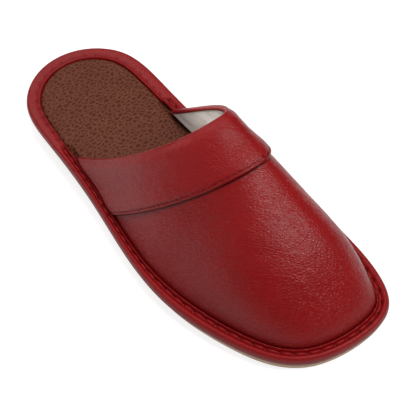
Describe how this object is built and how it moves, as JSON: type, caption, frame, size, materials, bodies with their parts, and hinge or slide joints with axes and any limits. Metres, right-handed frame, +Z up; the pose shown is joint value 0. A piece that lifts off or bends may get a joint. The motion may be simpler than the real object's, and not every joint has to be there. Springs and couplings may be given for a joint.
{
  "type": "house slipper",
  "caption": "Right closed-toe leather mule slipper with a collar cuff, stitched edge binding, covered insole and low wedge rubber sole, open at the heel.",
  "frame": {"origin": "centre of the bounding box, on the floor under the sole", "axes": "+Y from the heel to the toe, +X to the outer side of the foot, +Z up"},
  "size_m": [0.1004, 0.262, 0.0793],
  "materials": {
    "outsole": "matt tan foamed rubber",
    "insole": "brown leather with a large pebbled grain",
    "edge_binding": "satin dark red leather",
    "upper": "satin dark red leather with a fine grain",
    "cuff": "satin dark red leather with a fine grain"
  },
  "bodies": {
    "root": {"outsole": "outsole", "insole": "insole", "edge_binding": "edge_binding", "upper": "upper", "cuff": "cuff"}
  },
  "joints": []
}
